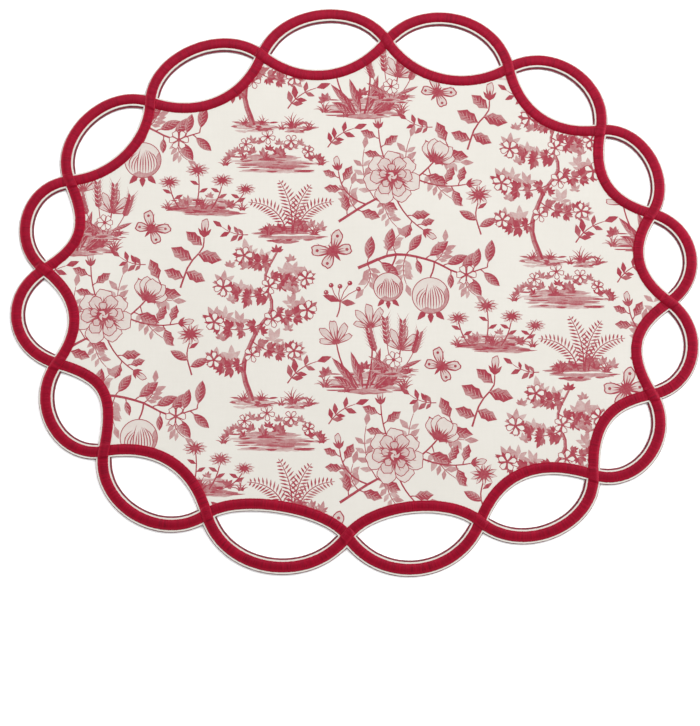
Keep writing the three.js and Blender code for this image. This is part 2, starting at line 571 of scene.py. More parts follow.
# %% Flowers
def petal(base, tip, breadth, tone=0.05, ticks=5, rim=0.6, shade=0.8):
    """One petal: nearly bare cloth inside a drawn rim, shaded with ticks from its foot."""
    reach = tip - base
    turn = np.linspace(0, 2 * np.pi, 16 if abs(reach) > 8 else 10, endpoint=False)
    far = (1 - np.cos(turn)) / 2
    wave = 1 + 0.05 * np.sin(5 * turn + pen.uniform(0, 6)) * far
    edge = base + reach * far * wave + 1j * reach * np.sin(turn) * breadth * (0.35 + 0.65 * far)
    made = [(edge, 1.0)]
    heart = edge.mean()
    inner = heart + (edge - heart) * (1 - rim / np.maximum(abs(edge - heart), rim * 1.5))
    made.append((inner, tone))
    for n in range(ticks):
        lean = (n - (ticks - 1) / 2) / max(ticks - 1, 1)
        foot = base + reach * (0.05 + 0.3j * lean * breadth)
        point = base + reach * (pen.uniform(0.5, 0.75) + 1.2j * lean * breadth)
        made.append(tick(foot, point, abs(reach) * breadth * 0.34, shade))
    return made


def open_rose(centre, radius, facing=1j):
    """A full rose seen from above: three rings of petals round a dark, folded heart."""
    made = []
    for ring, (number, out, breadth) in enumerate([(7, 1.0, 0.5), (6, 0.74, 0.52), (5, 0.5, 0.55)]):
        for n in range(number):
            way = facing * np.exp(2j * np.pi * (n + 0.5 * ring + pen.uniform(-0.08, 0.08)) / number)
            reach = radius * out * pen.uniform(0.93, 1.06)
            foot = centre + way * radius * 0.1
            made += petal(foot, centre + way * reach, breadth, 0.05 + 0.05 * ring, 5 - ring)
    made.append(disk(centre, radius * 0.24, 1.0, 9))
    for n in range(3):
        way = np.exp(1j * (2.1 * n + 0.4))
        a, b = centre + way * radius * 0.2, centre - way * radius * 0.08
        made.append((loop(bow(a, b, radius * 0.13), bow(a, b, radius * 0.03)), 0.12))
    return made


def side_rose(foot, radius, facing):
    """A rose seen from the side: a cup of petals over its calyx."""
    made = []
    for lean, out, breadth in ((-0.8, 1.0, 0.42), (0.8, 1.0, 0.42), (-0.42, 1.12, 0.42),
                               (0.42, 1.12, 0.42), (0.0, 1.0, 0.5)):
        way = facing * np.exp(1j * lean)
        made += petal(foot, foot + way * 2 * radius * out * pen.uniform(0.85, 0.95), breadth, 0.05, 5)
    for lean in (-1.15, -0.5, 0.2, 0.9):
        made += blade(foot, foot + facing * np.exp(1j * lean) * radius * 0.85, radius * 0.16, 1.0)
    return made


def blossom(centre, radius, petals=5, facing=1.0):
    """A small flower with round petals and a dark middle."""
    made = []
    for n in range(petals):
        way = facing * np.exp(2j * np.pi * n / petals)
        made += petal(centre + way * radius * 0.08, centre + way * radius, 0.5, 0.0, 2, 0.55)
    made.append(disk(centre, radius * 0.2, 1.0, 6))
    return made


def daisy(centre, radius, facing=1.0, squash=0.62):
    """A daisy seen a little from the side."""
    made = []
    for n in range(10):
        way = np.exp(2j * np.pi * (n + 0.3) / 10)
        way = complex(way.real, way.imag * squash) * facing
        tip = centre + way * radius
        made.append((loop(bow(centre, tip, radius * 0.16, 4), bow(centre, tip, -radius * 0.16, 4)), 0.95))
        near = centre + way * radius * 0.35
        end = tip * 0.97 + centre * 0.03
        made.append((loop(bow(near, end, radius * 0.07, 4), bow(near, end, -radius * 0.1, 4)), 0.1))
    ring = np.exp(2j * np.pi * np.arange(8) / 8)
    made.append((centre + radius * 0.3 * (ring.real + 1j * ring.imag * squash) * facing, 0.95))
    return made


def bud(foot, length, facing):
    """A closed bud in its sepals."""
    made = petal(foot, foot + facing * length, 0.27, 0.1, 3)
    for lean in (-0.6, 0.0, 0.6):
        made += blade(foot, foot + facing * np.exp(1j * lean) * length * 0.6, length * 0.1, 1.0)
    return made


def berries(base, size, number=5, facing=1j):
    """Stalks that spread from one point, each with a round berry."""
    made = []
    for n in range(number):
        way = facing * np.exp(1j * (n - (number - 1) / 2) * 0.48) * size * pen.uniform(0.7, 1.1)
        made.append(rod(bow(base, base + way, size * 0.06, 3), 0.55, 0.5, 0.95))
        made.append(disk(base + way, 1.5, 1.0, 7))
        made.append(disk(base + way + 0.4 * (-1 + 1j), 0.5, 0.15, 4))
    return made


print("an open rose:", len(open_rose(0j, 19.5)), "outlines, a daisy:", len(daisy(0j, 8.0)))

# %% [markdown]
# ### Ground
# Each island stands on a wash: level strokes of thinned ink, ragged and tapered like those of a
# wide brush, then some dark strokes. Grass, ferns and low banks of leaves grow out of it and hide
# where the stems start.

# %% Ground under the plants
def wash(width, height, rows=5, tone=0.33):
    """A wash of thinned ink: ragged level strokes, first broad and pale, then thin and dark."""
    made = []
    count = 11
    taper = np.sin(np.pi * np.linspace(0.02, 0.98, count)) ** 0.6
    for n in range(rows * 3):
        level = height * (0.5 - (n % rows + pen.uniform(0.2, 0.8)) / rows)
        room = width * (1 - 0.45 * abs(2 * level / height) ** 1.5)
        span = room * pen.uniform(0.35, 0.75)
        middle = pen.uniform(-0.5, 0.5) * (room - span)
        start = complex(middle - span / 2, level)
        end = complex(middle + span / 2, level + pen.uniform(-0.9, 0.9))
        line = bow(start, end, pen.uniform(-0.9, 0.9), count)
        top, low = [np.array([pen.uniform(0.4, 1.0) for _ in line]) * height / rows * 0.62 * taper
                    for _ in range(2)]
        made.append((loop(line + 1j * top, line - 1j * low), tone * pen.choice((0.45, 0.8, 1.0, 1.5))))
    for n in range(rows * 4):
        level = height * pen.uniform(-0.45, 0.45)
        at = complex(pen.uniform(-0.42, 0.3) * width, level)
        there = at + width * pen.uniform(0.06, 0.2) + 1j * pen.uniform(-0.6, 0.6)
        stroke = bow(at, there, pen.uniform(-0.5, 0.5))
        made.append(brush(stroke, pen.uniform(0.7, 1.5), pen.choice((0.7, 1.0))))
    return made


def grass(base, height, blades=8, spread=1.15):
    """A fan of pointed blades."""
    made = []
    for n in range(blades):
        lean = (n - (blades - 1) / 2) / (blades - 1) * 2 * spread + pen.uniform(-0.08, 0.08)
        reach = height * (1 - 0.3 * abs(lean) / spread) * pen.uniform(0.75, 1.1)
        foot = base + lean * height * 0.09
        sag = reach * 0.12 * (1 if lean > 0 else -1)
        line = bow(foot, base + 1j * np.exp(-1j * lean) * reach, sag, 4)
        half = np.linspace(0.7, 0.08, 4) * across(line)
        made.append((loop(line + half, line - half), 1.0 if n % 3 else 0.65))
    return made


def fern(base, tip, sag, reach):
    """An arching frond with narrow leaflets that shorten towards its tip."""
    line = bow(base, tip, sag, 15)
    side = across(line)
    made = [rod(line, 0.9, 0.4, 1.0)]
    for n in range(2, 14):
        size = reach * math.sin(math.pi * (0.16 + 0.84 * n / 15)) ** 0.8
        for way in (1, -1):
            lean = side[n] * way - 0.55j * side[n]
            made += blade(line[n], line[n] + lean / abs(lean) * size, 0.62, 1.0 if way > 0 else 0.7)
    return made


def mound(width, height, tufts):
    """A low bank of leaves: tufts over tufts, with lighter ones behind."""
    made = []
    for n in range(tufts):
        share = n / tufts
        x = pen.uniform(-0.5, 0.5) * width
        top = height * (1 - (2 * x / width) ** 2)
        y = top * (1 - share) * pen.uniform(0.75, 1.0)
        way = np.exp(1j * (math.pi / 2 - 1.1 * x / width + pen.uniform(-0.3, 0.3)))
        size = pen.uniform(4.2, 6.2)
        tone = 0.55 if share < 0.4 else pen.choice((0.8, 1.0))
        made += tuft(complex(x, y), way, size, 5, 2.6, tone)
    return made


sample = wash(60, 12), fern(0j, 20 + 20j, 5.0, 6.0)
print("a wash:", len(sample[0]), "strokes, a fern:", len(sample[1]), "outlines")

# %% [markdown]
# ### Fruit, grain and butterflies
# Curved strokes that follow its side make a fruit look round. An ear of wheat is two rows of small
# blades with a whisker each, and a butterfly is four petals round a brush stroke.

# %% Fruit, grain and butterflies
def pomegranate(centre, radius):
    """A round fruit with its crown, modelled by curved strokes that follow its side."""
    made = []
    for lean in (-0.5, 0.0, 0.5):
        tip = centre - 1j * np.exp(1j * lean) * radius * 1.5
        root = centre - 1j * np.exp(1j * lean * 0.5) * radius * 0.8
        made += blade(root, tip, radius * 0.18, 1.0)
    round_it = np.exp(2j * np.pi * np.arange(32) / 32)
    made.append((centre + radius * round_it, 1.0))
    made.append((centre + (radius - 0.6) * round_it, 0.05))
    side = np.exp(1j * np.linspace(-2.2, 0.5, 8))
    shade = centre + (radius - 0.4) * side
    inner = centre + (0.16 - 0.1j) * radius + radius * 0.62 * side
    made.append((loop(shade, inner), 0.35))
    for n in range(11):
        offset = -0.72 + 0.145 * n
        reach = math.sqrt(1 - offset ** 2)
        top = centre + radius * complex(offset * 0.45, pen.uniform(0.3, 0.75) * reach)
        low = centre + radius * complex(offset * 0.95, -0.8 * reach)
        made.append(brush(bow(top, low, radius * 0.3 * offset, 5), 0.75, 0.9))
    return made


def wheat(base, tip, sag, size):
    """A stalk with an ear of grains in two rows and their whiskers."""
    line = bow(base, tip, sag, 12)
    side = across(line)
    made = [rod(line, 0.7, 0.6, 1.0)]
    for n in range(6, 12):
        for way in (1, -1):
            lean = side[n] * way * 0.5 - 1j * side[n]
            end = line[n] + lean * size
            made += blade(line[n] + side[n] * way * 0.2, end, size * 0.24, 0.95 if way > 0 else 0.6)
            made.append(tick(end, end + lean * size * 0.9, 0.4, 0.9))
    return made


def butterfly(size, facing=1j):
    """A butterfly with spread wings, veins and a dark border."""
    made = []
    for way in (1, -1):
        for lean, reach, breadth in ((2.1, 0.8, 0.42), (0.95, 1.0, 0.36)):
            tip = np.exp(1j * way * (lean - 0.1)) * facing * size * reach * 0.5
            made += petal(facing * size * 0.02, tip, breadth, 0.12, 4, 0.9, 0.9)
            made.append(disk(tip * 0.72, size * 0.04, 0.95, 5))
    made.append(brush(np.linspace(-0.24, 0.2, 6) * size * facing, size * 0.09, 1.0))
    for way in (1, -1):
        tip = facing * size * 0.42 * np.exp(1j * way * 0.45)
        made.append(brush(bow(0.18 * size * facing, tip, way * size * 0.04), 0.5, 0.95))
    return made


sample = pomegranate(0j, 12.0), wheat(0j, 30j, 1.0, 5.0)
print("a pomegranate:", len(sample[0]), "outlines, an ear of wheat:", len(sample[1]))

# %% [markdown]
# ### Boughs and sprays
# A motif is a drawing around its own middle, in millimetres. What lies at the back is drawn first:
# pale twigs, then the stem and its leaves, and the flowers last.

# %% Boughs and sprays
def shifted(art, by, size=1.0):
    """The same art, enlarged by size and then moved."""
    return [(outline * size + by, tone) for outline, tone in art]


def rose_spray():
    stem = smooth([-42 - 28j, -20 - 14j, 2 - 4j, 18 + 8j, 34 + 26j], 15)
    made = []
    for at, tip, sag in ((2, -33 - 2j, 3), (4, -24 + 24j, 4), (8, 8 + 32j, 3),
                         (5, -2 - 32j, -3), (11, 36 - 12j, -3), (13, 42 + 14j, -2)):
        made += sprig(stem[at], tip, sag, 4, 8.5, 0.33)
    made.append(rod(stem, 1.9, 0.9, 1.0))
    made += leaves_on(stem, [(1, 1), (2, -1), (4, -1), (10, -1), (12, 1), (13, -1), (14, 1)], 15)
    for at, end, sag in ((3, -42 + 8j, 5), (6, 16 - 34j, -3), (9, 46 - 2j, -3), (7, -14 + 38j, 4)):
        twig = bow(stem[at], end, sag, 8)
        made.append(rod(twig, 1.2, 0.8, 1.0))
        made += leaves_on(twig, [(4, 1), (5, -1), (6, 1)], 12)
        made += bud(end, 11, (end - twig[-2]) / abs(end - twig[-2]))
    made += side_rose(24 + 14j, 8.5, np.exp(1.1j))
    made += open_rose(-5 + 4j, 19.5)
    return made


def blossom_bough():
    trunk = smooth([-4 - 54j, -10 - 32j, -2 - 8j, 9 + 10j, 4 + 30j, 12 + 48j], 18)
    made = [rod(trunk, 4.0, 0.9, 0.5), rod(trunk + 0.8, 1.7, 0.5, 1.0)]
    for n in range(1, 14):
        made.append(tick(trunk[n] - 1.4, trunk[n] + 0.6 + 0.8j, 0.7, 1.0))
    twigs = ((4, -30 - 26j, 4), (6, 24 - 20j, -4), (8, -30 + 0j, 5), (10, 33 + 8j, -5),
             (12, -24 + 24j, 5), (14, 32 + 30j, -4), (16, -10 + 46j, 3))
    for at, end, sag in twigs:
        for share in (0.45, 0.7, 0.95):
            stray = complex(pen.uniform(-3, 3), pen.uniform(-4, 4))
            spot = trunk[at] + (end - trunk[at]) * share + stray
            made += tuft(spot, np.exp(1j * pen.uniform(0.4, 2.7)), 9.5, 5, 3.4, 0.3)
    for at, end, sag in twigs:
        made += leafy(bow(trunk[at], end, sag, 9), 7.6, 2, 5)
    for at, end, sag in twigs:
        made += blossom(end, pen.uniform(5.6, 6.8), 5, np.exp(1j * pen.uniform(0, 1)))
    for at, size in ((5, 5.6), (9, 6.2), (13, 6.0)):
        made += blossom(trunk[at] + 3 - 2j, size, 5)
    made += tuft(trunk[-1], 1j, 7, 5)
    made += tuft(trunk[11] - 3, -1 + 0.5j, 6, 5)
    made += tuft(trunk[7] + 3, 1 + 0.3j, 6, 5)
    ground = shifted(wash(44, 8, 4), trunk[0] - 1j)
    for x, y in ((-19, 14), (-9, 37), (19, 22), (26, 20), (-26, -12), (20, -6), (22, 42), (-20, 38)):
        made += tuft(complex(x, y), np.exp(1j * pen.uniform(0.8, 2.3)), 6, 5, 2.6, 0.45)
    return ground + made + grass(trunk[0] + 6, 8, 7) + grass(trunk[0] - 6, 8, 7)


def fruit_bough():
    stem = smooth([-44 + 8j, -20 + 17j, 4 + 13j, 24 + 4j, 42 + 8j], 16)
    made = []
    for at, tip, sag in ((1, -40 - 6j, 3), (4, -16 + 31j, 3), (8, 14 + 25j, -2),
                         (12, 34 - 11j, -3), (5, -12 - 3j, -2)):
        made += sprig(stem[at], tip, sag, 4, 8.0, 0.33)
    made.append(rod(stem, 2.2, 0.8, 1.0))
    spots = [(1, 1), (2, -1), (3, 1), (5, 1), (7, 1), (9, 1),
             (11, 1), (13, 1), (14, -1), (15, 1), (12, -1)]
    made += leaves_on(stem, spots, 15, 0.22, 0.0)
    for at, hang, size in ((4, -24 - 5j, 10.0), (8, 4 - 11j, 12.5)):
        made.append(rod(bow(stem[at], hang + 1j * size, 0.6, 4), 1.2, 1.1, 1.0))
        made += pomegranate(hang, size)
    made += leaves_on(stem, [(6, -1), (10, -1)], 11, 0.22, 0.0)
    made += blossom(28 + 3j, 7.0, 6)
    return made


large = (rose_spray, blossom_bough, fruit_bough)
print("rose, blossom and fruit:", [len(draw()) for draw in large], "outlines")

# %% [markdown]
# ### Islands
# An island is a wash with plants on it: lilies among their leaves, ferns, daisies, wheat, or a low
# bank of leaves with small flowers.

# %% Islands
def lily_clump():
    made = wash(66, 14, 6) + shifted(mound(50, 9, 10), 4j)
    for lean, reach in ((-1.25, 21), (-0.85, 28), (-0.4, 24), (0.35, 26), (0.8, 28), (1.2, 22)):
        tip = 1j * np.exp(-1j * lean) * reach - 3j
        made += leaf(complex(5 * lean, -4), tip, 2.4)
    for foot, head, sag in ((-6 - 4j, -18 + 24j, 2), (0 - 4j, 3 + 34j, -2), (6 - 4j, 21 + 20j, -3)):
        stem = bow(foot, head, sag, 8)
        made.append(rod(stem, 1.3, 0.8, 1.0))
        way = (head - stem[-2]) / abs(head - stem[-2])
        for lean, reach in ((-1.2, 11), (1.2, 11), (-0.62, 14), (0.62, 14), (0.0, 15)):
            made += petal(head, head + way * np.exp(1j * lean) * reach, 0.24, 0.1, 3)
    made += grass(-25 - 3j, 9, 7) + grass(23 - 4j, 10, 8) + grass(-12 - 6j, 7, 6)
    return made + tuft(14 - 2j, 1j, 6)


def fern_clump():
    made = wash(52, 11, 5) + mound(40, 10, 8)
    for foot, tip, sag, reach in ((-3 + 0j, -27 + 20j, -6, 6.2), (3 + 0j, 26 + 20j, 6, 6.2),
                                  (0j, -8 + 34j, -3, 6.4), (1 + 0j, 12 + 31j, 3, 6.2)):
        made += fern(foot, tip, sag, reach)
    made += grass(-14 - 1j, 8, 6) + grass(14 - 1j, 8, 6)
    return made + tuft(-6 + 1j, -0.4 + 1j, 5) + tuft(7 + 1j, 0.4 + 1j, 5)


def daisy_patch():
    made = wash(60, 11, 5) + mound(34, 7, 8)
    for foot, head, size, sag in ((-16 - 1j, -23 + 17j, 7.4, 1.5), (-6 + 0j, -5 + 25j, 8, -1.5),
                                  (4 - 1j, 11 + 18j, 7.6, -1.5), (14 + 0j, 26 + 12j, 6.8, -2)):
        stem = bow(foot, head, sag, 6)
        made.append(rod(stem, 0.9, 0.7, 1.0))
        made += blade(stem[2], stem[2] + 6 + 3j, 1.4) + blade(stem[3], stem[3] - 6 + 3j, 1.4)
        made += daisy(head, size)
    return made + grass(-1 - 1j, 10, 8) + grass(-24 - 1j, 7, 6) + grass(24 - 2j, 8, 6)


def wheat_bunch():
    made = wash(40, 8, 4)
    for foot, tip, sag in ((-5 + 0j, -19 + 30j, 2), (-2 + 0j, -7 + 38j, 1),
                           (1 + 0j, 6 + 36j, -1), (4 + 0j, 18 + 27j, -2)):
        made += wheat(foot, tip, sag, 5.0)
    made += leaf(-3 + 2j, -20 + 12j, 1.6) + leaf(3 + 2j, 20 + 9j, 1.6)
    return made + blossom(-1 + 9j, 6.5, 7) + grass(-9 - 1j, 7, 6) + grass(10 - 1j, 7, 6)


def leafy_bank():
    made = wash(70, 12, 5) + shifted(mound(62, 17, 26), 2j)
    for x, y, size in ((-18, 13, 4.6), (-4, 18, 5.2), (11, 15, 4.8), (22, 8, 4.2)):
        made += blossom(complex(x, y), size, 5, np.exp(1j * x))
    return made + grass(-31 - 1j, 7, 6) + grass(30 - 1j, 8, 6)


islands = (lily_clump, fern_clump, daisy_patch, wheat_bunch, leafy_bank)
print("islands:", [len(draw()) for draw in islands], "outlines")

# %% [markdown]
# ### Sprigs
# Small things fill the gaps between the large motifs, as they do in the old prints.

# %% Sprigs
def bud_sprig():
    stem = smooth([-9 - 18j, -4 - 4j, 4 + 6j, 5 + 13j], 8)
    made = [rod(stem, 1.2, 0.8, 1.0)]
    for base, tip in ((-7 - 12j, -19 - 7j), (-6 - 8j, 6 - 14j), (-2 - 1j, -15 + 7j),
                      (1 + 3j, 16 - 1j), (4 + 8j, -6 + 17j)):
        made += leaf(base, tip, abs(tip - base) * 0.25, teeth=0.14)
    return made + bud(5 + 13j, 12, np.exp(1.5j))


def berry_sprig():
    made = berries(-6j, 13, 5) + blade(-6j, -10 - 2j, 2.2) + blade(-6j, 9 - 7j, 2.2, 0.7)
    return made + [rod(bow(-6j, -2 - 15j, 0.6, 4), 0.8, 0.8, 1.0)]


def leaf_sprig():
    return sprig(-9 - 7j, 7 + 5j, 2.0, 3, 7.5)


def turned_sprig():
    return [(outline * np.exp(2.2j), tone) for outline, tone in leaf_sprig()]


def lone_daisy():
    stem = smooth([2 - 16j, -1 - 4j, 1 + 6j], 8)
    made = [rod(stem, 1.0, 0.7, 1.0)]
    made += leaf(1 - 11j, 12 - 6j, 2.6) + leaf(0 - 7j, -11 - 1j, -2.6)
    return made + blade(0j, 6 + 4j, 1.4) + daisy(1 + 9j, 8.5, np.exp(0.2j), 0.8)


def tussock():
    return wash(26, 6, 3) + grass(-3 + 0j, 11, 9) + grass(7 - 1j, 7, 6) + grass(-10 - 1j, 6, 5)


print("a sprig with a bud:", len(bud_sprig()), "outlines, a tussock:", len(tussock()))

# %% [markdown]
# ### The repeat
# The repeat is a half drop: each column of motifs is shifted by half the height of the one before,
# which hides the rows. Twigs fill the gaps, so that about two fifths of the cloth carry ink. The
# same drawing is then laid over the whole field and turned by a degree or two, because cloth is
# never cut quite straight.

# %% The repeat
REPEAT = (192, 188)
MOTIFS = [
    (blossom_bough, 0.98, 34 + 61j),
    (rose_spray, 0.97, 128 + 156j),
    (fruit_bough, 1.0, 144 + 89j),
    (lily_clump, 1.08, 105 + 20j),
    (fern_clump, 1.08, 56 + 121j),
    (daisy_patch, 1.04, 190 + 45j),
    (wheat_bunch, 0.88, 124 + 27j),
    (leafy_bank, 1.05, 44 + 169j),
    (lambda: butterfly(31, np.exp(1j * 2.2)), 1.0, 84 + 108j),
    (bud_sprig, 1.1, 184 + 10j),
    (lambda: butterfly(27, np.exp(1j * 0.9)), 1.0, 154 + 30j),
    (berry_sprig, 1.15, 88 + 81j),
    (leaf_sprig, 1.2, 64 + 28j),
    (leaf_sprig, 1.1, 90 + 0j),
    (lone_daisy, 1.1, 180 + 137j),
    (turned_sprig, 0.9, 17 + 123j),
    (turned_sprig, 0.9, 141 + 9j),
    (tussock, 1.1, 60 + 6j),
]


def one_repeat():
    """All motifs of one repeat in their places, in the order of drawing."""
    art = []
    for draw, size, at in MOTIFS:
        art += shifted(draw(), at, size)
    return art


print(len(MOTIFS), "motifs repeat every", REPEAT, "mm")

# %% [markdown]
# ## Laying the print on the cloth
# Two helpers answer where an outline lies: `facing_up` turns it counter-clockwise, and `encloses`
# counts how often it passes round a place. Only shapes that touch the field within the inner arcs
# are kept.

# %% Lay the repeats over the cloth
def facing_up(outline):
    """The outline with its points counter-clockwise."""
    ahead = np.roll(outline, -1)
    return outline if (outline.conjugate() * ahead).imag.sum() > 0 else outline[::-1]


def encloses(outline, spots):
    """Which spots lie inside an outline, by how often it passes round each."""
    spot = spots[:, None]
    here, ahead = outline[None, :], np.roll(outline, -1)[None, :]
    rises = (ahead.imag > spot.imag).astype(int) - (here.imag > spot.imag).astype(int)
    slope = (ahead.real - here.real) / np.where(ahead.imag == here.imag, 1, ahead.imag - here.imag)
    beyond = here.real + (spot.imag - here.imag) * slope > spot.real
    return (rises * beyond).sum(1) != 0


ART_ORIGIN = -98 - 86j
ART_TURN = np.exp(1j * math.radians(1.6))
COLUMNS = range(-2, 4)
ROWS = range(-3, 5)
TONE_STEPS = 20
drawn = one_repeat()
ink_outlines, ink_tones = [], []
inner_arcs = [arc(name, k, 24)[:-1] for k in range(LENSES) for name in "ab" if not bows_out(name, k)]
field = facing_up(np.concatenate(inner_arcs))
for column in COLUMNS:
    for row in ROWS:
        drop = row * REPEAT[1] + column * REPEAT[1] / 2
        shift = ART_ORIGIN + complex(column * REPEAT[0], drop)
        laid = [((outline + shift) * ART_TURN, tone) for outline, tone in drawn]
        starts = [outline[0] for outline, _ in laid]
        middles = [outline[len(outline) // 2] for outline, _ in laid]
        inside = encloses(field, np.array(starts + middles)).reshape(2, -1).any(0)
        for (outline, tone), shown in zip(laid, inside):
            if shown:
                ink_outlines.append(outline)
                ink_tones.append(min(1.0, round(tone * TONE_STEPS) / TONE_STEPS))
print("ink shapes:", len(ink_outlines), "with", sum(map(len, ink_outlines)), "points")

# %% [markdown]
# ## Cutting the cloth
# The cloth is one flat mesh whose faces follow the edges of the ink. This keeps the print as sharp
# as a real one without any image. A constrained triangulation takes the cut edges and the ink
# outlines at once, splits them where they cross, and says which cut edges go round each small
# triangle. What lies inside the cut is cloth, and its ink is that of the last outline drawn over
# it. Most drawn lines are hidden under later shapes, so it is done twice: the first pass finds the
# lines that show, and the second cuts the cloth along these only, with half the triangles.

# %% Triangulate
HALF_LENGTH = 225
HALF_DEPTH = 190
SAME_POINT = 1e-4


def grid(step):
    """Loose points every few millimetres, so the cloth can follow its gentle swell."""
    columns = np.arange(-HALF_LENGTH, HALF_LENGTH + 1, step)
    rows = np.arange(-HALF_DEPTH, HALF_DEPTH + 1, step)
    x, y = np.meshgrid(columns, rows)
    return (x + 1j * y).ravel()


def cut_sheet(outlines, points, sides, keep):
    """Triangles that follow the outlines and the sides.

    The sides join two of the points by their numbers. Keep is given the numbers of the outlines
    round a triangle and says whether it stays.
    """
    outlines = [facing_up(outline) for outline in outlines]
    loops = []
    start = 0
    for outline in outlines:
        loops.append(list(range(start, start + len(outline))))
        start += len(outline)
    verts = [Vector((z.real, z.imag)) for z in np.concatenate(outlines + [points])]
    joined = [(a + start, b + start) for a, b in sides]
    result = delaunay_2d_cdt(verts, joined, loops, 1, SAME_POINT)
    spots, triangles, inside = result[0], result[2], result[5]
    kept = [(triangle, around) for triangle, around in zip(triangles, inside) if keep(around)]
    spots = np.array([complex(*spot) for spot in spots])
    return spots, [triangle for triangle, _ in kept], [around for _, around in kept]


def sides_between(triangles, values):
    """The sides where two triangles with different values meet."""
    corner = np.array(triangles)
    pairs = np.sort(np.concatenate([corner[:, [0, 1]], corner[:, [1, 2]], corner[:, [2, 0]]]), 1)
    value = np.tile(values, 3)
    order = np.lexsort((pairs[:, 1], pairs[:, 0]))
    pairs, value = pairs[order], value[order]
    meets = (pairs[1:] == pairs[:-1]).all(1) & (value[1:] != value[:-1])
    return pairs[1:][meets]


def rim_of(triangles):
    """The directed edges that only one triangle has: the cut edge, walked with the cloth on its left."""
    edges = {(t[n], t[(n + 1) % 3]) for t in triangles for n in range(3)}
    return [(a, b) for a, b in edges if (b, a) not in edges]


def rings_of(edges):
    """The closed rings that the directed edges make."""
    after = dict(edges)
    rings = []
    while after:
        start, here = after.popitem()
        ring = [start]
        while here != start:
            ring.append(here)
            here = after.pop(here)
        rings.append(ring)
    return rings


print("a grid of 12 mm steps has", len(grid(12.0)), "points")

# %% [markdown]
# ### A sheet with thickness
# A cut cloth has a front, a back and a thin edge. The back carries no print, so it is triangulated
# anew with few faces. It takes over the points of the front's cut edge, which makes the sheet
# closed without a seam.

# %% A sheet with thickness
FRONT_GRID = 6.0
BACK_GRID = 12.0


def spot_key(spot):
    """A place rounded to a thousandth of a millimetre, to find the same point again."""
    return round(spot.real, 3), round(spot.imag, 3)


def thick_sheet(name, outlines, points, sides, keep, low, high):
    """A closed sheet between two heights, and the middles of its front faces."""
    spots, front, _ = cut_sheet(outlines, points, sides, keep)
    edge = rim_of(front)
    rings = rings_of(edge)
    ring_lines = [spots[ring] for ring in rings]
    areas = [(line.conjugate() * np.roll(line, -1)).imag.sum() for line in ring_lines]
    holes = {n for n, area in enumerate(areas) if area <= 0}
    below, back, _ = cut_sheet(ring_lines, grid(BACK_GRID), [],
                               lambda inside: bool(inside) and not holes & set(inside))
    joined = {spot_key(spot): number + len(spots) for number, spot in enumerate(below)}
    partner = {n: joined[spot_key(spots[n])] for ring in rings for n in ring}
    faces = [tuple(t) for t in front]
    faces += [tuple(len(spots) + n for n in reversed(t)) for t in back]
    for a, b in edge:
        faces.append((b, a, partner[a]))
        faces.append((b, partner[a], partner[b]))
    place = np.concatenate([spots, below])
    level = np.concatenate([np.full(len(spots), high), np.full(len(below), low)])
    height = level + lie(place)
    points = np.stack([place.real, place.imag, height], 1) * MM
    mesh = bpy.data.meshes.new(name)
    mesh.from_pydata(points.tolist(), [], faces)
    piece = put(name, mesh)
    print(name, "has", len(front), "front faces,", len(faces), "in all and", len(rings) - 1, "openings")
    return piece, spots[np.array(front)].mean(1)


print("a sheet is made on grids of", FRONT_GRID, "and", BACK_GRID, "mm")

# %% [markdown]
# ### The printed cloth
# The cloth fills the field within both bands and runs out under each band to its cut edges. The
# print ends under the stitching, at the middle of a band, so the bare rim stays ivory. Each face
# then stores its tone of ink, which the material reads.

# %% The printed cloth
BACK_LOW = 0.2
BACK_TOP = 0.75
CLOTH_LOW = 0.8
CLOTH_TOP = 1.8
CLOTH_WAVER = 0.09
MIDLINE_STEP = 2.0
edges = cut_edges(RIMS["cloth"], CLOTH_WAVER)
OUT_A, OUT_B, IN_A, IN_B, MID_A, MID_B = range(6)
midlines = [walk(name, MIDLINE_STEP)[0] for name in "ab"]


def is_border(around):
    """Whether a triangle with these edges round it lies under a band."""
    here = set(around)
    return (OUT_A in here and IN_A not in here) or (OUT_B in here and IN_B not in here)


def is_cloth(around):
    """Cloth lies under either band and in the field within both."""
    return is_border(around) or (IN_A in around and IN_B in around)


def ink_at(middles, outlines, tones):
    """The tone at each place: that of the last outline drawn round it, or none."""
    order = np.argsort(middles.real)
    level = middles.real[order]
    tone = np.zeros(len(middles), np.float32)
    for outline, value in zip(outlines, tones):
        first, last = np.searchsorted(level, [outline.real.min(), outline.real.max()])
        near = order[first:last]
        high = middles.imag[near]
        near = near[(high > outline.imag.min()) & (high < outline.imag.max())]
        tone[near[encloses(outline, middles[near])]] = value
    return tone


# the first pass takes every line that was drawn and finds the few that can be seen
lengths = [len(outline) for outline in ink_outlines]
firsts = np.repeat(np.cumsum([0] + lengths[:-1]), lengths)
number = np.arange(sum(lengths))
ahead = firsts + (number - firsts + 1) % np.repeat(lengths, lengths)
drawn_sides = np.stack([number, ahead], 1).tolist()
spots, drafts, around = cut_sheet(edges + midlines, np.concatenate(ink_outlines), drawn_sides, is_cloth)
in_field = np.array([MID_A in here and MID_B in here for here in around])
tones = ink_at(spots[np.array(drafts)].mean(1), ink_outlines, ink_tones) * in_field
seen = sides_between(drafts, tones)
used, seen = np.unique(seen, return_inverse=True)
print("lines drawn:", len(number), "after crossing:", len(spots), "seen:", seen.size // 2)

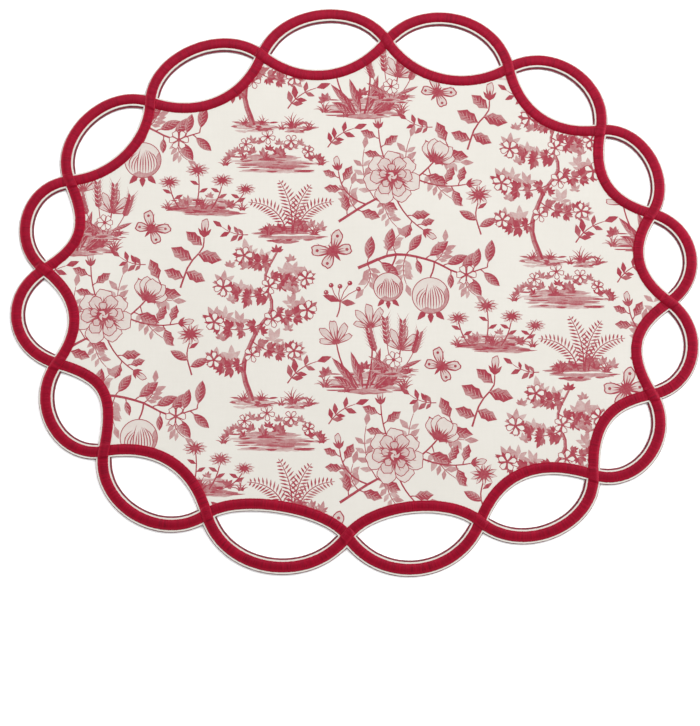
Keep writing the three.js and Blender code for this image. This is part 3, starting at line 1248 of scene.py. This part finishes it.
# the second pass cuts the cloth along these only
points = np.concatenate([spots[used], grid(FRONT_GRID)])
seen_sides = seen.reshape(-1, 2).tolist()
cloth, middles = thick_sheet("printed_cotton", edges, points, seen_sides, is_cloth, CLOTH_LOW, CLOTH_TOP)
tones = np.zeros(len(cloth.data.polygons), np.float32)
shown = encloses(midlines[0], middles) & encloses(midlines[1], middles)
tones[:len(middles)] = ink_at(middles, ink_outlines, ink_tones) * shown
ink = cloth.data.attributes.new("ink", "FLOAT", "FACE")
ink.data.foreach_set("value", tones)
print("faces in the cloth:", len(cloth.data.polygons), "inked:", int((tones > 0).sum()))

# %% [markdown]
# ### The cotton's finish
# Ivory plain-weave cotton is matt, with faint slubs along its threads. Ink never lies on it evenly,
# so soft noise thins it. Ink works like a filter: twice as much of it lets through the square of
# the light, and a power gives pale washes and dark lines their right distance. The weave is too
# fine to model and stays a bump.

# %% Cloth finish
IVORY = (0.542, 0.525, 0.486, 1)
IVORY_WORN = (0.515, 0.497, 0.457, 1)
IVORY_SLUB = (0.487, 0.467, 0.427, 1)
ROSE_INK = (0.24, 0.016, 0.034, 1)
THROUGH_FULL_INK = 0.014
WEAVE_PITCH = 0.00048

cotton, shader, spot = begin("printed_cotton")
uneven = cloud(spot, 900.0, 3.0).between(0.25, 0.7) * 0.22
uneven = uneven + cloud(spot, 260.0, 2.0).between(0.3, 0.7) * 0.26
density = stored(spot, "ink") * (1.0 - uneven)
cover = 1.0 - THROUGH_FULL_INK ** density
age = cloud(spot, 14.0, 3.0).between(0.3, 0.7)
slubs = cloud(spot, 700.0, 2.0, (0.12, 1.0, 1.0)) + cloud(spot, 700.0, 2.0, (1.0, 0.12, 1.0))
ground = age.blend(IVORY_WORN, IVORY)
ground = ((slubs - 1.0) * 0.35 + 0.5).blend(IVORY_SLUB, ground)
colour = cover.blend(ground, ROSE_INK)


def threads_along(axis):
    """Ridges of thread side by side along an axis."""
    turn = spot.node("ShaderNodeSeparateXYZ", {}, {0: spot}, axis) * (2 * math.pi / WEAVE_PITCH)
    return abs(turn.maths("SINE", turn))


weave = threads_along("X") * 0.5 + threads_along("Y") * 0.5 + slubs * 0.8
bump = raised(spot, weave, 0.35, 0.00012)
feed(shader, {"Base Color": colour, "Roughness": 0.85, "Normal": bump, "Specular IOR Level": 0.2})
cloth.data.materials.append(cotton)
print("the cotton uses", len(cotton.node_tree.nodes), "nodes")

# %% [markdown]
# ## The backing
# A ring of dark red cloth lies under the border. It shows as a thin dark line beyond the ivory rim,
# and it is what the underside of the mat looks like. Beyond the openings of the outer arcs it reaches
# farther, and there its dark edge also stands in for the shadow that the raised border casts.

# %% Backing
BACKING_WAVER = 0.05
back_edges = cut_edges(RIMS["backing"], BACKING_WAVER)
backing, _ = thick_sheet("border_backing_cloth", back_edges, grid(FRONT_GRID), [], is_border,
                         BACK_LOW, BACK_TOP)

dark, shader, spot = begin("dark_red_backing")
depth = cloud(spot, 300.0, 3.0).between(0.25, 0.75)
colour = depth.blend((0.10, 0.004, 0.012, 1), (0.17, 0.008, 0.022, 1))
bump = raised(spot, cloud(spot, 3500.0, 2.0), 0.4, 0.0001)
feed(shader, {"Base Color": colour, "Roughness": 0.8, "Normal": bump, "Sheen Weight": 0.1})
backing.data.materials.append(dark)
print("the backing uses", len(dark.node_tree.nodes), "nodes")

# %% [markdown]
# ## Satin stitch
# Satin stitch lays one thread beside the next, straight across the band, over a padding that makes
# it round. At each side the thread goes down through both cloths and comes back across the
# underside, where it lies flat. So a band is a closed ring round the cloths, with a full side on
# top and a thin one below. Each thread is three rows of points: one in the groove and two over its
# back. Threads differ a little in width, height and reach, and now and then one sits deep, which
# draws the short dark lines that the eye reads as stitching. Where a band passes over the other one
# it rises by what it covers.

# %% Where the bands cross
THREAD = 0.55
ROWS_PER_THREAD = 3
# across the band in half widths and up in millimetres: over the top, then back along the underside
OVER = [(-1.0, 0.02), (-0.93, 0.42), (-0.7, 0.70), (-0.25, 0.9),
        (0.25, 0.9), (0.7, 0.70), (0.93, 0.42), (1.0, 0.02)]
BELOW = [(0.95, 0.02), (0.5, -0.1), (-0.5, -0.1), (-0.95, 0.02)]
UNDER_SHARE = 0.72
CROSSING_RISE = 0.84 * UNDER_SHARE + 0.04
HILL_REACH = 12
PRESS_FROM = 5.0
PRESS_TO = 10.0


def hill(name, place):
    """1 where a band lies over the other one, 0 elsewhere, with a slope between."""
    rise = np.zeros(place.shape)
    for k in range(LENSES):
        if CROSSINGS[k][4] != name:
            continue
        other = "b" if name == "a" else "a"
        side = 1 if bows_out(other, k) else -1
        offset = (place - knots[k]) / heading(k, side * CROSSING_ANGLE)
        near = abs(place - knots[k]) < HILL_REACH
        slope = 1 - ramp(abs(offset.imag), BAND_HALF - 0.1, BAND_HALF + 1.6)
        rise = np.where(near, np.maximum(rise, slope), rise)
    return rise


def press(name, place):
    """The share of its height that a band keeps, where the other band presses on it."""
    share = np.ones(place.shape)
    for k in range(LENSES):
        if CROSSINGS[k][4] != name:
            free = ramp(abs(place - knots[k]), PRESS_FROM, PRESS_TO)
            share = np.minimum(share, UNDER_SHARE + (1 - UNDER_SHARE) * free)
    return share


print("a band rises by", round(CROSSING_RISE, 2), "mm where it passes over the other one")

# %% [markdown]
# ### The threads
# Chance sets how each thread lies, by numbers drawn once a thread. They are then repeated for its
# three rows, so a thread keeps its own height, reach and shade from side to side.

# %% Satin bands
GROOVE_DEPTH = 0.05
DEEP_DEPTH = 0.14
DEEP_SHARE = 0.12
GAP_SHADE_SHARE = 0.07
LIFT_SPREAD = 0.018
REACH_SPREAD = 0.05
GROOVE_REACH = 0.07
stitcher = np.random.default_rng(11)


def satin_band(name):
    """One band of threads as a closed ring round both cloths."""
    place, way, _, _ = walk(name, THREAD / ROWS_PER_THREAD)
    rows = len(place) - len(place) % ROWS_PER_THREAD
    place, way = place[:rows], way[:rows]
    threads = rows // ROWS_PER_THREAD
    number = np.arange(rows) // ROWS_PER_THREAD
    groove = (np.arange(rows) % ROWS_PER_THREAD == 0).astype(float)
    deep = (stitcher.random(threads) < DEEP_SHARE)[number] * groove
    lift = stitcher.normal(0, LIFT_SPREAD, threads)[number][:, None]
    reach_left = stitcher.normal(0, REACH_SPREAD, threads)[number] - GROOVE_REACH * groove
    reach_right = stitcher.normal(0, REACH_SPREAD, threads)[number] - GROOVE_REACH * groove
    shade = stitcher.random(threads)[number]

    u = np.array([across for across, _ in OVER + BELOW])
    h = np.array([height for _, height in OVER + BELOW])[None, :]
    half = BAND_HALF + np.where(u[None, :] > 0, reach_left[:, None], reach_right[:, None])
    spots = place[:, None] + 1j * way[:, None] * u[None, :] * half
    dent = (GROOVE_DEPTH * groove + DEEP_DEPTH * deep)[:, None] * np.minimum(1, h * 2)
    top = CLOTH_TOP + h * press(name, spots) + (lift - dent) * (h > 0.1)
    top = top + hill(name, spots) * CROSSING_RISE
    bottom = BACK_LOW + h + 0.03 * groove[:, None] * (h < 0) - 0.08 * hill(name, spots)
    height = np.where(np.arange(len(u)) < len(OVER), top, bottom) + lie(spots)
    points = np.stack([spots.real, spots.imag, height], -1).reshape(-1, 3) * MM

    columns = len(u)
    row, column = np.meshgrid(np.arange(rows), np.arange(columns), indexing="ij")
    next_row, next_column = (row + 1) % rows, (column + 1) % columns
    faces = np.stack([row * columns + column, next_row * columns + column,
                      next_row * columns + next_column, row * columns + next_column], -1).reshape(-1, 4)
    mesh = bpy.data.meshes.new("satin_stitch_" + name)
    mesh.from_pydata(points.tolist(), [], faces.tolist())
    mesh.polygons.foreach_set("use_smooth", np.ones(len(mesh.polygons), bool))
    tone = mesh.attributes.new("thread", "FLOAT", "POINT")
    # painted shade: a few random threads are darkened over part of the band's width, as dark gaps between
    # stitches
    gap_shade = (stitcher.random(threads) < GAP_SHADE_SHARE) * stitcher.uniform(0.35, 1.0, threads)
    gap_shade_reach = stitcher.uniform(0.5, 2.6, threads)
    painted_gap_shade = gap_shade[number][:, None] * ((1 - u)[None, :] < gap_shade_reach[number][:, None])
    tone.data.foreach_set("value", (shade[:, None] * 0.6 + 0.4 - painted_gap_shade).ravel().astype(np.float32))
    edge = mesh.attributes.new("across", "FLOAT", "POINT")
    edge.data.foreach_set("value", np.tile(u, rows).astype(np.float32))
    lowest = round(float(height.min()), 3)
    print(mesh.name, "has", threads, "threads and", len(faces), "faces, lowest", lowest, "mm")
    return put(mesh.name, mesh)


bands = {name: satin_band(name) for name in "ab"}

# %% [markdown]
# ### The thread's finish
# Satin stitch shines because its threads lie side by side and mirror the light together. The
# modelled threads do most of that. The shader adds a tinted gloss and a little sheen. It also paints
# light into the colour: a lighter, pinker red towards one side of the band as painted sheen, a bright
# red along the other edge as painted highlight, and painted shade on a few random threads as gaps.

# %% Satin finish
RED_DARK = (0.155, 0.0006, 0.0075, 1)
RED_LIGHT = (0.205, 0.0012, 0.0105, 1)
# random thread tone, and painted shade for the threads darkened as gaps
RED_DARK_THREAD_AND_GAP_SHADE = (0.10, 0.0012, 0.006, 1)
RED_OUTER_SIDE_SHEEN = (0.225, 0.005, 0.016, 1)
RED_INNER_EDGE_HIGHLIGHT = (0.25, 0.001, 0.009, 1)

satin, shader, spot = begin("red_satin_thread")
across_band = stored(spot, "across")
slow = cloud(spot, 45.0, 2.0).between(0.3, 0.7) * 0.6 + cloud(spot, 260.0, 2.0).between(0.3, 0.7) * 0.4
colour = stored(spot, "thread").blend(RED_DARK_THREAD_AND_GAP_SHADE, slow.blend(RED_DARK, RED_LIGHT))
# painted sheen: a pinker red towards the band's left edge
colour = across_band.between(0.3, 0.95).blend(colour, RED_OUTER_SIDE_SHEEN)
# painted highlight: a brighter red along the band's right edge
colour = across_band.between(-0.8, -1.0).blend(colour, RED_INNER_EDGE_HIGHLIGHT)
feed(shader, {"Base Color": colour, "Roughness": 0.38, "Specular IOR Level": 0.5,
              "Specular Tint": (1.0, 0.11, 0.23, 1), "Sheen Weight": 0.12, "Sheen Roughness": 0.35,
              "Sheen Tint": (1.0, 0.4, 0.6, 1)})
for piece in bands.values():
    piece.data.materials.append(satin)
print("the thread uses", len(satin.node_tree.nodes), "nodes")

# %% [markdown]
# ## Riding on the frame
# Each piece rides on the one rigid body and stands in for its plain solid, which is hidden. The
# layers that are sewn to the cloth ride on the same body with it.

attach(cloth, "root")
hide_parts("printed_cloth")
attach(backing, "root")
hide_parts("border_backing")
for name, piece in bands.items():
    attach(piece, "root")
    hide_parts("satin_band_" + name)
print("cloth, backing and", len(bands), "bands ride on the frame")
